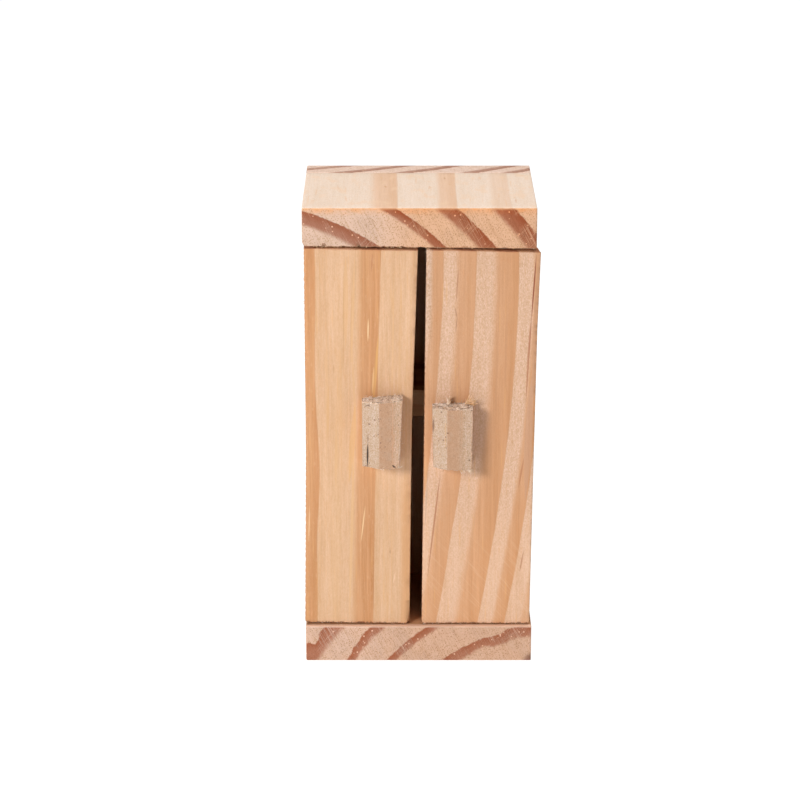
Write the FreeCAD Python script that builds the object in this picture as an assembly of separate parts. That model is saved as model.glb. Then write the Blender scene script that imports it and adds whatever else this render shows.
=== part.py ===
import FreeCAD, Part
import os

# Miniature wardrobe of raw pine: a glued carcass of boards, one shelf, and two doors
# that turn on headless steel pins hidden in blind holes of the top and bottom boards.
# Millimetres. +X right, +Y to the back, +Z up. The origin is the middle of the underside.

# ---- driving dimensions ----
carcass_width = 48.5
carcass_depth = 39.0
carcass_height = 100.35

bottom_thickness = 7.95
top_thickness_left = 8.15        # the top board was sawn slightly wedge-shaped
top_thickness_right = 8.65
back_thickness = 7.1
side_thickness = 6.0
shelf_thickness = 5.9
shelf_top = 57.5                 # height of the shelf's upper face

door_thickness = 8.2
door_recess = 1.0                # doors stand back from the boards' front faces
door_clearance = 2.6             # room behind the doors for their outer edges to swing round

pin_radius = 0.8
pin_hole_clearance = 0.06        # radial, where a pin turns in a board
pin_in_door = 5.0
pin_in_board = 4.0
pin_end_gap = 0.5                # the board's hole is deeper than the pin
left_pivot_x = -20.0
right_pivot_x = 20.4

# Each door is sawn by eye, so its upright edges bend slightly part way up.
# Corners and bends as (x, z) on the front face.
left_door_outer_bottom = (-24.42, 8.45)
left_door_free_bottom = (-1.95, 8.15)
left_door_free_bend = (-1.5, 53.0)
left_door_free_top = (-0.27, 91.1)
left_door_outer_top = (-23.95, 91.6)
left_door_outer_bend = (-23.87, 50.0)
left_door_draft = 0.0

right_door_free_bottom = (0.66, 8.2)
right_door_outer_bottom = (23.83, 8.15)
right_door_outer_bend = (24.68, 74.0)
right_door_outer_top = (25.2, 90.75)
right_door_free_top = (1.45, 91.3)
right_door_free_bend = (1.17, 52.0)
right_door_draft = -1.1          # its outer edge is out of square: narrower at the back

chip_height = 5.2                # bruised lower corner of the left door's free edge
chip_width = 0.7
chip_depth = 1.6

clipped_corner_width = 0.5       # lower left corner of the top board
clipped_corner_height = 1.0

handle_reach = 5.0               # how far the handles stand out from the doors
handle_left_reach = 3.1
handle_right_reach = 4.4

# A handle's four long edges, left to right, as x at its lower and upper end.
left_handle_bottom_x = (-11.95, -8.4, -5.8, -4.0)
left_handle_top_x = (-12.0, -8.35, -5.6, -3.4)
left_handle_bottom = (44.9, 44.9)    # z at its left and right edge
left_handle_top = (59.3, 60.05)

right_handle_bottom_x = (3.0, 5.75, 8.6, 11.2)
right_handle_top_x = (2.7, 5.95, 8.75, 11.3)
right_handle_bottom = (44.75, 44.55)
right_handle_top = (58.1, 58.25)

# ---- derived planes ----
half_width = carcass_width / 2
front_y = -carcass_depth / 2
rear_y = carcass_depth / 2
back_inner_y = rear_y - back_thickness
door_front_y = front_y + door_recess
door_back_y = door_front_y + door_thickness
pivot_y = door_front_y + door_thickness / 2
inside_front_y = door_back_y + door_clearance    # front edges of the side panels and the shelf


def underside_of_top(x):
    """Height of the top board's sloping underside at x."""
    share = (x + half_width) / carcass_width
    thickness = top_thickness_left + share * (top_thickness_right - top_thickness_left)
    return carcass_height - thickness


def solid_box(x0, x1, y0, y1, z0, z1):
    return Part.makeBox(x1 - x0, y1 - y0, z1 - z0, FreeCAD.Vector(x0, y0, z0))


def closed_wire(points):
    vectors = [FreeCAD.Vector(*p) for p in points]
    return Part.makePolygon(vectors + vectors[:1])


def board_from_outline(outline, y0, y1):
    """A board whose (x, z) outline runs straight back from y0 to y1."""
    wire = closed_wire([(x, y0, z) for x, z in outline])
    return Part.Face(wire).extrude(FreeCAD.Vector(0, y1 - y0, 0))


def upright_cylinder(x, y, radius, z0, z1):
    return Part.makeCylinder(radius, z1 - z0, FreeCAD.Vector(x, y, z0))


def height_on_line(start, end, x):
    """z at x on the straight line through two (x, z) points."""
    share = (x - start[0]) / (end[0] - start[0])
    return start[1] + share * (end[1] - start[1])


# ---- pin heights, shared by pins, bores and holes ----
def bottom_pin_span(door_bottom):
    return bottom_thickness - pin_in_board, door_bottom + pin_in_door


def top_pin_span(door_top, x):
    return door_top - pin_in_door, underside_of_top(x) + pin_in_board


# ---- carcass ----
def make_bottom_board():
    board = solid_box(-half_width, half_width, front_y, back_inner_y, 0, bottom_thickness)
    hole_end = bottom_thickness - pin_in_board - pin_end_gap
    for x in (left_pivot_x, right_pivot_x):
        hole = upright_cylinder(x, pivot_y, pin_radius + pin_hole_clearance, hole_end, bottom_thickness + 1)
        board = board.cut(hole)
    return board


def make_top_board():
    left_under = underside_of_top(-half_width)
    clip_x = -half_width + clipped_corner_width
    outline = [
        (-half_width, left_under + clipped_corner_height),
        (clip_x, underside_of_top(clip_x)),
        (half_width, underside_of_top(half_width)),
        (half_width, carcass_height),
        (-half_width, carcass_height),
    ]
    board = board_from_outline(outline, front_y, back_inner_y)
    for x in (left_pivot_x, right_pivot_x):
        underside = underside_of_top(x)
        hole_end = underside + pin_in_board + pin_end_gap
        hole = upright_cylinder(x, pivot_y, pin_radius + pin_hole_clearance, underside - 1, hole_end)
        board = board.cut(hole)
    return board


def make_back_panel():
    return solid_box(-half_width, half_width, back_inner_y, rear_y, 0, carcass_height)


def make_side_panel(x0, x1):
    outline = [
        (x0, bottom_thickness),
        (x1, bottom_thickness),
        (x1, underside_of_top(x1)),
        (x0, underside_of_top(x0)),
    ]
    return board_from_outline(outline, inside_front_y, back_inner_y)


def make_shelf():
    inner = half_width - side_thickness
    return solid_box(-inner, inner, inside_front_y, back_inner_y, shelf_top - shelf_thickness, shelf_top)


# ---- doors ----
def make_door(outer_edge, free_edge, draft):
    """A ruled board between its front outline and its back outline; draft moves the back's outer edge.

    Each edge runs from the bottom to the top.
    """
    front = outer_edge[::-1] + free_edge
    back = [(x + draft, z) for x, z in outer_edge[::-1]] + free_edge
    front_wire = closed_wire([(x, door_front_y, z) for x, z in front])
    back_wire = closed_wire([(x, door_back_y, z) for x, z in back])
    return Part.makeLoft([front_wire, back_wire], True, True)


def bore_door(door, pivot_x, bottom_line, top_line):
    """Cut the two blind bores that grip the pins."""
    door_bottom = height_on_line(*bottom_line, pivot_x)
    door_top = height_on_line(*top_line, pivot_x)
    lower = upright_cylinder(pivot_x, pivot_y, pin_radius, 0, door_bottom + pin_in_door)
    upper = upright_cylinder(pivot_x, pivot_y, pin_radius, door_top - pin_in_door, carcass_height)
    return door.cut(lower).cut(upper)


def corner_chip(corner):
    """Four-faced wedge that bruises the front arris at a door's lower free corner."""
    x, z = corner
    slack = 0.5
    apex = (x + slack * 0.1, door_front_y - slack * 0.1, z + chip_height)
    left = (x - chip_width, door_front_y - slack * 0.1, z - slack)
    rear = (x + slack * 0.1, door_front_y + chip_depth, z - slack)
    outside = (x + slack, door_front_y - slack, z - slack)
    faces = [(apex, left, rear), (apex, rear, outside), (apex, outside, left), (left, outside, rear)]
    shell = Part.makeShell([Part.Face(closed_wire(face)) for face in faces])
    chip = Part.makeSolid(shell)
    if chip.Volume < 0:
        chip.reverse()
    return chip


def make_pin(x, span):
    return upright_cylinder(x, pivot_y, pin_radius, *span)


# ---- handles ----
def make_handle(bottom_x, top_x, bottom_z, top_z):
    """Short length of a hand-planed stick with three front facets, sawn off a little unevenly."""
    reaches = (handle_left_reach, handle_reach, handle_reach, handle_right_reach)
    wires = []
    for edges_x, (z_left, z_right) in ((bottom_x, bottom_z), (top_x, top_z)):
        first, last = edges_x[0], edges_x[-1]
        front = [(x, reach) for x, reach in zip(edges_x, reaches)]
        profile = [(first, 0.0)] + front + [(last, 0.0)]
        ends = ((first, z_left), (last, z_right))
        wires.append(closed_wire([(x, door_front_y - reach, height_on_line(*ends, x)) for x, reach in profile]))
    return Part.makeLoft(wires, True, True)


# ---- all pieces, by node name ----
left_bottom_line = (left_door_outer_bottom, left_door_free_bottom)
left_top_line = (left_door_outer_top, left_door_free_top)
right_bottom_line = (right_door_free_bottom, right_door_outer_bottom)
right_top_line = (right_door_free_top, right_door_outer_top)

left_outer_edge = [left_door_outer_bottom, left_door_outer_bend, left_door_outer_top]
left_free_edge = [left_door_free_bottom, left_door_free_bend, left_door_free_top]
right_outer_edge = [right_door_outer_bottom, right_door_outer_bend, right_door_outer_top]
right_free_edge = [right_door_free_bottom, right_door_free_bend, right_door_free_top]

door_left = make_door(left_outer_edge, left_free_edge, left_door_draft)
door_left = bore_door(door_left, left_pivot_x, left_bottom_line, left_top_line)
door_left = door_left.cut(corner_chip(left_door_free_bottom))

door_right = make_door(right_outer_edge, right_free_edge, right_door_draft)
door_right = bore_door(door_right, right_pivot_x, right_bottom_line, right_top_line)

left_lower_span = bottom_pin_span(height_on_line(*left_bottom_line, left_pivot_x))
left_upper_span = top_pin_span(height_on_line(*left_top_line, left_pivot_x), left_pivot_x)
right_lower_span = bottom_pin_span(height_on_line(*right_bottom_line, right_pivot_x))
right_upper_span = top_pin_span(height_on_line(*right_top_line, right_pivot_x), right_pivot_x)

pieces = {
    "bottom_board": make_bottom_board(),
    "top_board": make_top_board(),
    "back_panel": make_back_panel(),
    "side_panel_left": make_side_panel(-half_width, -half_width + side_thickness),
    "side_panel_right": make_side_panel(half_width - side_thickness, half_width),
    "shelf": make_shelf(),
    "door_left": door_left,
    "door_right": door_right,
    "handle_left": make_handle(left_handle_bottom_x, left_handle_top_x, left_handle_bottom, left_handle_top),
    "handle_right": make_handle(
        right_handle_bottom_x, right_handle_top_x, right_handle_bottom, right_handle_top),
    "pivot_pin_left_lower": make_pin(left_pivot_x, left_lower_span),
    "pivot_pin_left_upper": make_pin(left_pivot_x, left_upper_span),
    "pivot_pin_right_lower": make_pin(right_pivot_x, right_lower_span),
    "pivot_pin_right_upper": make_pin(right_pivot_x, right_upper_span),
}

os.makedirs("parts", exist_ok=True)
for name, shape in pieces.items():
    shape = shape.Solids[0]
    print(f"{name}: valid {shape.isValid()}, volume {shape.Volume:.1f} mm3")
    shape.exportStep(f"parts/{name}.step")
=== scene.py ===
import math
import random

import bmesh
import bpy
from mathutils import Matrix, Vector, noise


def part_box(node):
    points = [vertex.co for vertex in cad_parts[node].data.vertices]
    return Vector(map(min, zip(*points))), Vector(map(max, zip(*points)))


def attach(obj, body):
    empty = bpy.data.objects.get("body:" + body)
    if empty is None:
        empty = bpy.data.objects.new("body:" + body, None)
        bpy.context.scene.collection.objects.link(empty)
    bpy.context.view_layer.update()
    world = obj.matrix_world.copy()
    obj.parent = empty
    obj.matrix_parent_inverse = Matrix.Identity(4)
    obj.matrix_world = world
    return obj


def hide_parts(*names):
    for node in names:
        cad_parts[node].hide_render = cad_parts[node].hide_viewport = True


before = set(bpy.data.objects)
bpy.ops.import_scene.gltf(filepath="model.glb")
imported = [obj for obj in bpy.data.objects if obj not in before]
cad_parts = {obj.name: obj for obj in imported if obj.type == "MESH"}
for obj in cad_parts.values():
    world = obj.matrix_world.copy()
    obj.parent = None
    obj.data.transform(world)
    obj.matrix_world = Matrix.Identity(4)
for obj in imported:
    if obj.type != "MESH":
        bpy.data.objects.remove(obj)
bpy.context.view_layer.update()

# A dolls' house wardrobe of raw pine. Each board is cut from a modelled log: its growth rings are one
# solid pattern, so the bands on a board's ends, edges and faces belong together.
# Lengths in the grain patterns are in millimetres of the shared frame, everything else is in metres.

MM = 0.001
CARCASS = "carcass"
LEFT = "left_door"
RIGHT = "right_door"

base_low, base_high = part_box("bottom_board")
left_door_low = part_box("door_left")[0]
width = base_high.x - base_low.x
front_y = base_low.y
total_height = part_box("back_panel")[1].z

# the same planes in millimetres, for the grain patterns and the fibres
HALF_WIDTH_MM = 0.5 * width / MM
FRONT_MM = front_y / MM
HEIGHT_MM = total_height / MM
BASE_TOP_MM = base_high.z / MM
TOP_UNDERSIDE_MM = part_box("top_board")[0].z / MM
DOOR_FRONT_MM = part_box("door_right")[0].y / MM


# ---------------------------------------------------------------- node trees
class Graph:
    """Builds the node tree of one material. Every method returns an output socket."""

    def __init__(self, name, specular=0.22):
        self.specular = specular
        self.material = bpy.data.materials.new(name)
        self.material.use_nodes = True
        self.tree = self.material.node_tree
        self.shader = self.tree.nodes["Principled BSDF"]
        self.place = self.add("ShaderNodeTexCoord")
        self.position = self.vector("MULTIPLY", self.place.outputs["Object"], (1 / MM,) * 3)
        split = self.add("ShaderNodeSeparateXYZ")
        self.tree.links.new(self.position, split.inputs[0])
        self.axes = dict(zip("xyz", split.outputs))
        facing = self.add("ShaderNodeSeparateXYZ")
        self.tree.links.new(self.place.outputs["Normal"], facing.inputs[0])
        self.facing = dict(zip("xyz", facing.outputs))

    def add(self, kind, **settings):
        node = self.tree.nodes.new(kind)
        for key, value in settings.items():
            setattr(node, key, value)
        return node

    def feed(self, socket, value):
        if isinstance(value, bpy.types.NodeSocket):
            self.tree.links.new(value, socket)
        else:
            socket.default_value = value

    def math(self, operation, *values, clamp=False):
        node = self.add("ShaderNodeMath", operation=operation, use_clamp=clamp)
        for socket, value in zip(node.inputs, values):
            self.feed(socket, value)
        return node.outputs[0]

    def sum(self, *values):
        total = values[0]
        for value in values[1:]:
            total = self.math("ADD", total, value)
        return total

    def times(self, a, b):
        return self.math("MULTIPLY", a, b)

    def vector(self, operation, *values):
        node = self.add("ShaderNodeVectorMath", operation=operation)
        for socket, value in zip(node.inputs, values):
            self.feed(socket, value)
        return node.outputs[0]

    def join(self, x, y, z):
        node = self.add("ShaderNodeCombineXYZ")
        for socket, value in zip(node.inputs, (x, y, z)):
            self.feed(socket, value)
        return node.outputs[0]

    def noise(self, vector, scale=1.0, detail=2.0, roughness=0.5, distortion=0.0):
        node = self.add("ShaderNodeTexNoise")
        self.feed(node.inputs["Vector"], vector)
        self.feed(node.inputs["Scale"], scale)
        self.feed(node.inputs["Detail"], detail)
        self.feed(node.inputs["Roughness"], roughness)
        self.feed(node.inputs["Distortion"], distortion)
        return node.outputs["Fac"]

    def cells(self, vector, scale=1.0):
        """Distance to the nearest of a scatter of points."""
        node = self.add("ShaderNodeTexVoronoi", feature="F1")
        self.feed(node.inputs["Vector"], vector)
        self.feed(node.inputs["Scale"], scale)
        return node.outputs["Distance"]

    def span(self, value, low, high, to_low=0.0, to_high=1.0, smooth=True):
        """Maps low..high to to_low..to_high, clamped."""
        node = self.add("ShaderNodeMapRange", clamp=True)
        node.interpolation_type = "SMOOTHSTEP" if smooth else "LINEAR"
        for socket, number in zip(node.inputs, (value, low, high, to_low, to_high)):
            self.feed(socket, number)
        return node.outputs[0]

    def ramp(self, value, stops):
        """A ramp of grey values; stops are (position, value), in rising order."""
        node = self.add("ShaderNodeValToRGB")
        ramp = node.color_ramp
        ramp.interpolation = "EASE"
        while len(ramp.elements) < len(stops):
            ramp.elements.new(0.5)
        for element, (position, grey) in zip(ramp.elements, stops):
            element.position = position
            element.color = (grey, grey, grey, 1)
        self.feed(node.inputs[0], value)
        return node.outputs[0]

    def mix(self, factor, a, b, blend="MIX"):
        node = self.add("ShaderNodeMix", data_type="RGBA", blend_type=blend)
        colours = [socket for socket in node.inputs if socket.type == "RGBA"]
        self.feed(node.inputs[0], factor)
        for socket, value in zip(colours, (a, b)):
            self.feed(socket, (*value, 1) if isinstance(value, tuple) else value)
        return [socket for socket in node.outputs if socket.type == "RGBA"][0]

    def finish(self, colour, roughness, height, depth):
        """Colour and roughness into the shader, and a bump of depth metres from height."""
        self.shader.inputs["Specular IOR Level"].default_value = self.specular
        self.feed(self.shader.inputs["Base Color"], colour)
        self.feed(self.shader.inputs["Roughness"], roughness)
        bump = self.add("ShaderNodeBump")
        self.feed(bump.inputs["Strength"], 1.0)
        self.feed(bump.inputs["Distance"], depth)
        self.feed(bump.inputs["Height"], height)
        self.tree.links.new(bump.outputs[0], self.shader.inputs["Normal"])
        return self.material


# ---------------------------------------------------------------- pine
def ring_mask(g, t, rings, soft=0.35, edge=0.1, margin=2.0):
    """1 in latewood, 0 in earlywood. rings are (soft start, sharp end, strength) along t, in mm.

    soft is the share of a ring that its start takes, edge half the width of its sharp end.
    """
    low = rings[0][0] - margin
    high = rings[-1][1] + margin
    stops = [(low, 0.0)]
    for start, end, strength in rings:
        stops += [
            (start, 0.0),
            (start + soft * (end - start), 0.85 * strength),
            (end - edge, strength),
            (end + edge, 0.0),
        ]
    reach = high - low
    value = g.math("DIVIDE", g.math("SUBTRACT", t, low), reach)
    return g.ramp(value, [((position - low) / reach, grey) for position, grey in stops])


def around_pith(u, w, pith_u, pith_w):
    """Ring coordinate: distance from the pith in the plane of two axes."""
    def coordinate(g):
        return g.math("SQRT", g.sum(
            g.math("POWER", g.math("SUBTRACT", g.axes[u], pith_u), 2.0),
            g.math("POWER", g.math("SUBTRACT", g.axes[w], pith_w), 2.0),
        ))
    return coordinate


def bent(coordinate, kinks):
    """The same rings with local kinks: (x, z, radius, how far the rings are pushed inwards), in mm."""
    def bent_coordinate(g):
        total = coordinate(g)
        for x, z, radius, push in kinks:
            away = g.sum(
                g.math("POWER", g.math("SUBTRACT", g.axes["x"], x), 2.0),
                g.math("POWER", g.math("SUBTRACT", g.axes["z"], z), 2.0),
            )
            total = g.sum(total, g.span(away, 0.0, radius * radius, push, 0.0))
        return total
    return bent_coordinate


def stretched(g, axes, across, lengthwise, detail=2.0, roughness=0.5):
    """Noise drawn out along the last of three axes. across and lengthwise are its scales per mm."""
    a, b, along = axes
    place = g.join(g.times(a, across), g.times(b, across), g.times(along, lengthwise))
    return g.noise(place, detail=detail, roughness=roughness)


def thin_lines(g, across, along, wander, width):
    """Long thin wavy lines: the level line of a noise that is stretched along them."""
    field = g.noise(g.join(g.times(across, wander), g.times(along, 0.035), 3.7), detail=2.0)
    return g.span(g.math("ABSOLUTE", g.math("SUBTRACT", field, 0.5)), 0.0, width, 1.0, 0.0)


def tinted(g, colour, shade):
    """Darkens towards red-brown, as shaded wood does: blue goes first and red last."""
    return g.mix(1.0, colour, g.join(shade, g.math("POWER", shade, 1.5), g.math("POWER", shade, 2.3)),
                 "MULTIPLY")


def saw_scratches(g, axes):
    """Pale scratches across end grain in two slants, and dark ones in a third. axes lie in the end."""
    p, q = axes
    steep = thin_lines(g, g.sum(g.times(p, 0.88), g.times(q, 0.47)),
                       g.sum(g.times(q, 0.88), g.times(p, -0.47)), 4.2, 0.045)
    flat = thin_lines(g, g.sum(g.times(p, 0.72), g.times(q, -0.69)),
                      g.sum(g.times(q, 0.72), g.times(p, 0.69)), 2.6, 0.025)
    dark = thin_lines(g, g.sum(g.times(p, 0.9), g.times(q, 0.44), 31.0),
                      g.sum(g.times(q, 0.9), g.times(p, -0.44)), 3.0, 0.04)
    return g.math("MAXIMUM", steep, g.times(flat, 0.8)), dark


def add_resin_canals(g, colour, axes, end, side, latewood):
    """Pale dots on end grain, yellow-orange dashes on long grain."""
    a, b, along = axes
    canal = g.cells(g.join(g.times(a, 0.9), g.times(b, 0.9), g.times(along, 0.05)))
    canal = g.span(canal, 0.1, 0.2, 1.0, 0.0)
    dots = g.times(g.times(canal, end), g.span(latewood, 0.3, 0.7, 0.15, 0.8))
    colour = g.mix(dots, colour, (0.90, 0.56, 0.38))
    return g.mix(g.times(g.times(canal, side), 0.25), colour, (0.74, 0.40, 0.15))


def pine(name, grain, coordinate, rings, early, late, end_early, end_late, streak=0.5, fuzz=0.5,
         scratch=0.6, wander=1.0, wave=1.0, planed=None, marks=None, long_rings=None):
    """Raw pine. grain is the axis along the fibres; coordinate(g) gives the ring coordinate in mm.

    early and late colour the long grain, end_early and end_late the end grain. streak, fuzz and
    scratch are the strengths of the fine streaks, the woolly tufts and the saw's scratches; wander and
    wave say how much the rings waver finely and slowly. planed is the share of the tufts left at the
    foot. long_rings replace the rings on long grain. marks(g, colour, end, side) lays stains and painted
    shade on top.
    """
    g = Graph(name)
    along = g.axes[grain]
    a, b = (g.axes[axis] for axis in "xyz" if axis != grain)
    axes = (a, b, along)

    # ring coordinate, wavering slowly along the board and finely across it
    slow = stretched(g, axes, 0.12, 0.03, detail=1.0)
    fine = stretched(g, axes, 1.5, 0.06, detail=3.0)
    t = g.sum(
        coordinate(g),
        g.times(g.math("SUBTRACT", slow, 0.5), 0.9 * wave),
        g.times(g.math("SUBTRACT", fine, 0.5), 0.45 * wander),
    )

    # end is 1 where the surface cuts the fibres squarely
    end = g.span(g.math("ABSOLUTE", g.facing[grain]), 0.45, 0.8)
    side = g.math("SUBTRACT", 1.0, end)
    latewood = ring_mask(g, t, rings)
    if long_rings:
        latewood = g.sum(g.times(latewood, end), g.times(ring_mask(g, t, long_rings), side))

    fibre = stretched(g, axes, 2.6, 0.1, detail=5.0, roughness=0.68)
    broad = stretched(g, axes, 0.6, 0.03, detail=3.0)
    tuft = stretched(g, axes, 5.0, 2.6, roughness=0.7)
    if planed:
        smoother = g.span(g.axes["z"], 18.0, 52.0, planed, 1.0)
        tuft = g.sum(0.5, g.times(g.math("SUBTRACT", tuft, 0.5), smoother))
    pores = g.span(g.cells(g.position, 2.7), 0.14, 0.4, 1.0, 0.0)
    thread = stretched(g, axes, 1.5, 0.035, detail=4.0, roughness=0.75)

    colour = g.mix(end, g.mix(latewood, early, late), g.mix(latewood, end_early, end_late))
    fluff = g.math("SUBTRACT", 1.0, latewood)
    shade = g.sum(
        1.0,
        g.times(g.math("SUBTRACT", fibre, 0.5), 0.42 * streak),
        g.times(g.math("SUBTRACT", broad, 0.5), 0.36 * streak),
        g.times(g.times(g.math("SUBTRACT", thread, 0.5), 0.75 * streak), g.times(side, latewood)),
        g.times(g.times(g.math("SUBTRACT", tuft, 0.5), 0.62 * fuzz), g.times(side, g.sum(0.15, fluff))),
        g.times(g.times(pores, -0.3), g.times(end, g.sum(0.2, g.times(fluff, 0.8)))),
    )
    colour = tinted(g, colour, shade)
    hue = g.span(stretched(g, axes, 3.0, 0.35, detail=3.0, roughness=0.8), 0.5, 0.68)
    golden = g.mix(1.0, colour, (1.02, 0.93, 0.80), "MULTIPLY")
    colour = g.mix(g.times(hue, g.times(side, 0.5)), colour, golden)
    colour = add_resin_canals(g, colour, axes, end, side, latewood)

    pale_lines, dark_lines = saw_scratches(g, (g.axes["x"], g.axes["z"]) if grain == "y" else (a, b))
    patchy = g.span(g.noise(g.position, scale=0.22), 0.36, 0.6)
    scratches = g.times(pale_lines, g.times(g.times(patchy, end), scratch))
    scratched = g.times(scratches, g.sum(0.28, g.times(latewood, 0.24)))
    colour = g.mix(scratched, colour, (0.82, 0.57, 0.42))
    colour = tinted(g, colour, g.sum(1.0, g.times(g.times(dark_lines, end), -0.13 * scratch)))
    if marks:
        colour = marks(g, colour, end, side)

    height = g.sum(
        g.times(fibre, 0.5 * fuzz + 0.3),
        g.times(tuft, 0.6 * fuzz),
        g.times(latewood, 0.3),
        g.times(g.times(pores, end), -0.5),
        g.times(scratches, -0.5),
    )
    roughness = g.sum(0.62, g.times(fibre, 0.16), g.times(latewood, -0.1))
    return g.finish(colour, roughness, height, 0.06 * MM)


def lens(g, u, v, start, stop, width):
    """A thin pointed mark from start to stop in the plane of two axes, as wide as width in its middle."""
    (u0, v0), (u1, v1) = start, stop
    way = g.math("DIVIDE", g.math("SUBTRACT", g.axes[v], v0), v1 - v0)
    line = g.sum(u0, g.times(way, u1 - u0))
    belly = g.times(g.times(way, g.math("SUBTRACT", 1.0, way)), 2.0 * width)
    gap = g.math("ABSOLUTE", g.math("SUBTRACT", g.axes[u], line))
    return g.times(
        g.span(g.math("SUBTRACT", belly, gap), -0.08, 0.08),
        g.times(g.math("GREATER_THAN", way, 0.0), g.math("LESS_THAN", way, 1.0)),
    )


def add_marks(g, colour, facing, u, v, marks):
    """Lays pointed marks over the colour. marks are (start, stop, width, tint, strength)."""
    for start, stop, width, tint, strength in marks:
        mask = g.times(lens(g, u, v, start, stop, width), g.times(facing, strength))
        colour = g.mix(mask, colour, tint)
    return colour


def steel():
    """Bright drawn wire with faint lines along it."""
    g = Graph("steel_wire", specular=0.5)
    lines = g.noise(g.join(g.times(g.axes["x"], 6.0), g.times(g.axes["y"], 6.0), g.times(g.axes["z"], 0.4)),
                    detail=3.0)
    colour = g.mix(lines, (0.46, 0.45, 0.43), (0.68, 0.67, 0.65))
    g.shader.inputs["Metallic"].default_value = 1.0
    return g.finish(colour, g.span(lines, 0.3, 0.7, 0.28, 0.45), lines, 0.01 * MM)


YELLOW = (0.76, 0.46, 0.22)
RESIN = (0.44, 0.17, 0.08)
DARK = (0.16, 0.08, 0.05)
CRACK = (0.05, 0.03, 0.022)
CREAM = (0.765, 0.605, 0.485)
TAN = (0.72, 0.46, 0.30)

# pointed marks: (start, stop, width, tint, strength), on the doors as (x, z), on the top face as (x, y)
LEFT_DOOR_STREAKS = [
    ((-13.4, 90.0), (-14.2, 66.0), 0.5, YELLOW, 0.45),
    ((-14.2, 74.0), (-13.0, 44.0), 0.5, YELLOW, 0.35),
    ((-13.6, 52.0), (-14.9, 8.0), 0.6, YELLOW, 0.5),
    ((-13.9, 88.0), (-14.6, 60.0), 0.25, (0.66, 0.36, 0.17), 0.5),
    ((-10.6, 76.5), (-10.7, 71.5), 0.26, (0.93, 0.68, 0.40), 0.8),
    ((-8.5, 73.0), (-9.7, 57.0), 0.6, (0.74, 0.41, 0.15), 0.75),
    ((-8.9, 76.0), (-9.4, 60.0), 0.2, (0.56, 0.27, 0.11), 0.5),
    ((-9.5, 66.0), (-9.8, 60.0), 0.3, (0.84, 0.55, 0.28), 0.7),
    ((-13.4, 58.0), (-14.8, 40.0), 1.1, (0.74, 0.42, 0.17), 0.5),
    ((-15.2, 90.0), (-15.4, 70.0), 1.1, (0.73, 0.42, 0.19), 0.4),
    ((-15.6, 88.0), (-15.9, 64.0), 0.22, (0.58, 0.31, 0.14), 0.5),
    ((-19.0, 62.0), (-19.2, 50.0), 0.5, (0.70, 0.40, 0.18), 0.5),
    ((-11.4, 35.0), (-12.3, 27.0), 0.24, (0.93, 0.66, 0.38), 0.75),
    ((-23.2, 35.0), (-23.5, 27.0), 0.24, (0.86, 0.58, 0.34), 0.6),
    ((-6.1, 25.2), (-6.1, 24.2), 0.35, (0.52, 0.28, 0.15), 0.6),
    ((-9.7, 90.5), (-9.9, 86.5), 0.3, RESIN, 0.45),
    ((-21.6, 29.0), (-21.9, 26.5), 0.25, (0.56, 0.30, 0.15), 0.5),
    ((-5.0, 20.0), (-5.4, 17.5), 0.3, (0.88, 0.62, 0.42), 0.5),
    ((-17.9, 66.5), (-17.9, 64.5), 0.35, (0.60, 0.33, 0.17), 0.6),
    ((-5.2, 88.0), (-5.9, 46.0), 0.35, YELLOW, 0.35),
    ((-3.9, 82.0), (-4.4, 47.0), 0.4, (0.72, 0.42, 0.20), 0.3),
    ((-2.4, 80.0), (-2.8, 40.0), 0.35, (0.70, 0.40, 0.19), 0.35),
    ((-19.3, 74.0), (-19.5, 45.0), 0.5, (0.72, 0.44, 0.22), 0.3),
    ((-17.4, 54.0), (-17.6, 38.0), 0.6, (0.72, 0.43, 0.20), 0.35),
    ((-7.1, 40.0), (-7.4, 12.0), 0.5, (0.72, 0.44, 0.23), 0.3),
]
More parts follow.
